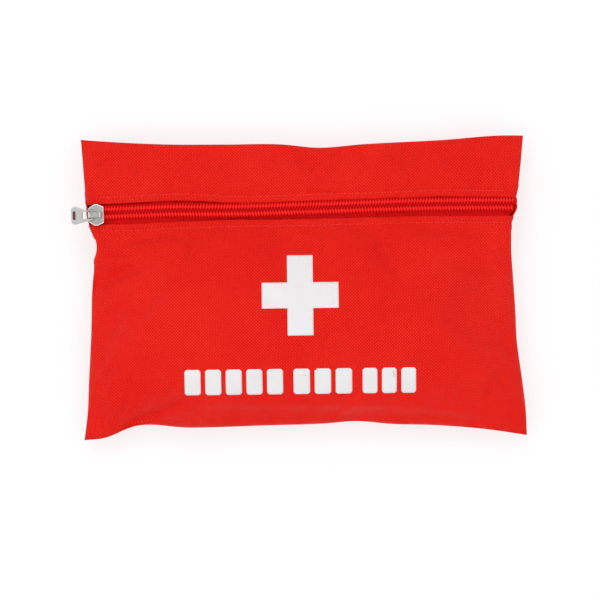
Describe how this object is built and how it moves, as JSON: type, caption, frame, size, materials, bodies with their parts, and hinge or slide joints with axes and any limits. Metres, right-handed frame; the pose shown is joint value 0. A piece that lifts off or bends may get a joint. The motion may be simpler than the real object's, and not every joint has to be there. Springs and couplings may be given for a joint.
{
  "type": "first aid kit",
  "caption": "Soft rectangular zip pouch with a plain cross on the front, a coil zip with slider and pull, and dressings inside.",
  "frame": {"origin": "on the resting face of the back, under the middle of the pouch", "axes": "+Z out of the back's resting face towards the printed front, +X along the pouch's long side towards the zip's sewn-in end, +Y towards the top seam beyond the zip"},
  "size_m": [0.2017, 0.134, 0.03],
  "materials": {
    "pouch_fabric": "woven polyester, semi-matt",
    "zip_tape": "woven tape, matt",
    "zip_coil": "satin nylon",
    "thread": "spun thread",
    "seam_tape": "folded woven tape",
    "slider_metal": "bright nickel plate",
    "pull_metal": "tumbled nickel plate",
    "white_ink": "screen printed ink",
    "white_cotton": "loose weave",
    "core_plastic": "moulded",
    "cloth_tape": "zinc oxide tape",
    "foil_pack": "metallised film",
    "paper": "uncoated",
    "wrapper_paper": "peel wrapper",
    "wipe_sachet": "foil-lined paper",
    "tool_steel": "satin"
  },
  "bodies": {
    "pouch": {"back_panel": "pouch_fabric", "front_lower_panel": "pouch_fabric", "lower_zip_tape": "zip_tape", "lower_coil": "zip_coil", "lower_topstitch": "thread", "left_seam_binding": "seam_tape", "right_seam_binding": "seam_tape", "top_seam_binding": "seam_tape", "bottom_seam_binding": "seam_tape", "printed_cross": "white_ink", "printed_bars": "white_ink", "bandage_roll": "white_cotton", "tape_core": "core_plastic", "tape_winding": "cloth_tape", "foil_blanket_pack": "foil_pack", "guide_leaflet": "paper", "triangular_bandage_pack": "white_cotton", "plaster_strips": "wrapper_paper", "gauze_pads": "wrapper_paper", "alcohol_wipes": "wipe_sachet", "tweezers": "tool_steel", "safety_pins": "tool_steel"},
    "upper_flap": {"front_upper_panel": "pouch_fabric", "upper_zip_tape": "zip_tape", "upper_coil": "zip_coil", "upper_topstitch": "thread"},
    "slider": {"slider_body": "slider_metal", "slider_bridge": "slider_metal"},
    "pull": {"pull_tab": "pull_metal"}
  },
  "joints": [
    {"name": "slider_travel", "type": "slide", "parent": "pouch", "child": "slider", "axis": [0.9998, 0.0182, 0], "range_m": [0, 0.174], "deforming": ["lower_zip_tape", "upper_zip_tape", "lower_coil", "upper_coil"]},
    {"name": "pull_tab_swing", "type": "hinge", "parent": "slider", "child": "pull", "pos_m": [-0.09368, 0.0333, 0.01755], "axis": [-0.0182, 0.9998, 0], "range_deg": [0, 150]},
    {"name": "mouth_flap_lift", "type": "hinge", "parent": "pouch", "child": "upper_flap", "pos_m": [0, 0.067, 0.01], "axis": [-1, 0, 0], "range_deg": [0, 15], "deforming": ["upper_zip_tape", "upper_coil"]}
  ],
  "couplings": [
    {"joint": "mouth_flap_lift", "follows": "slider_travel", "rad_per_m": 1.5}
  ]
}
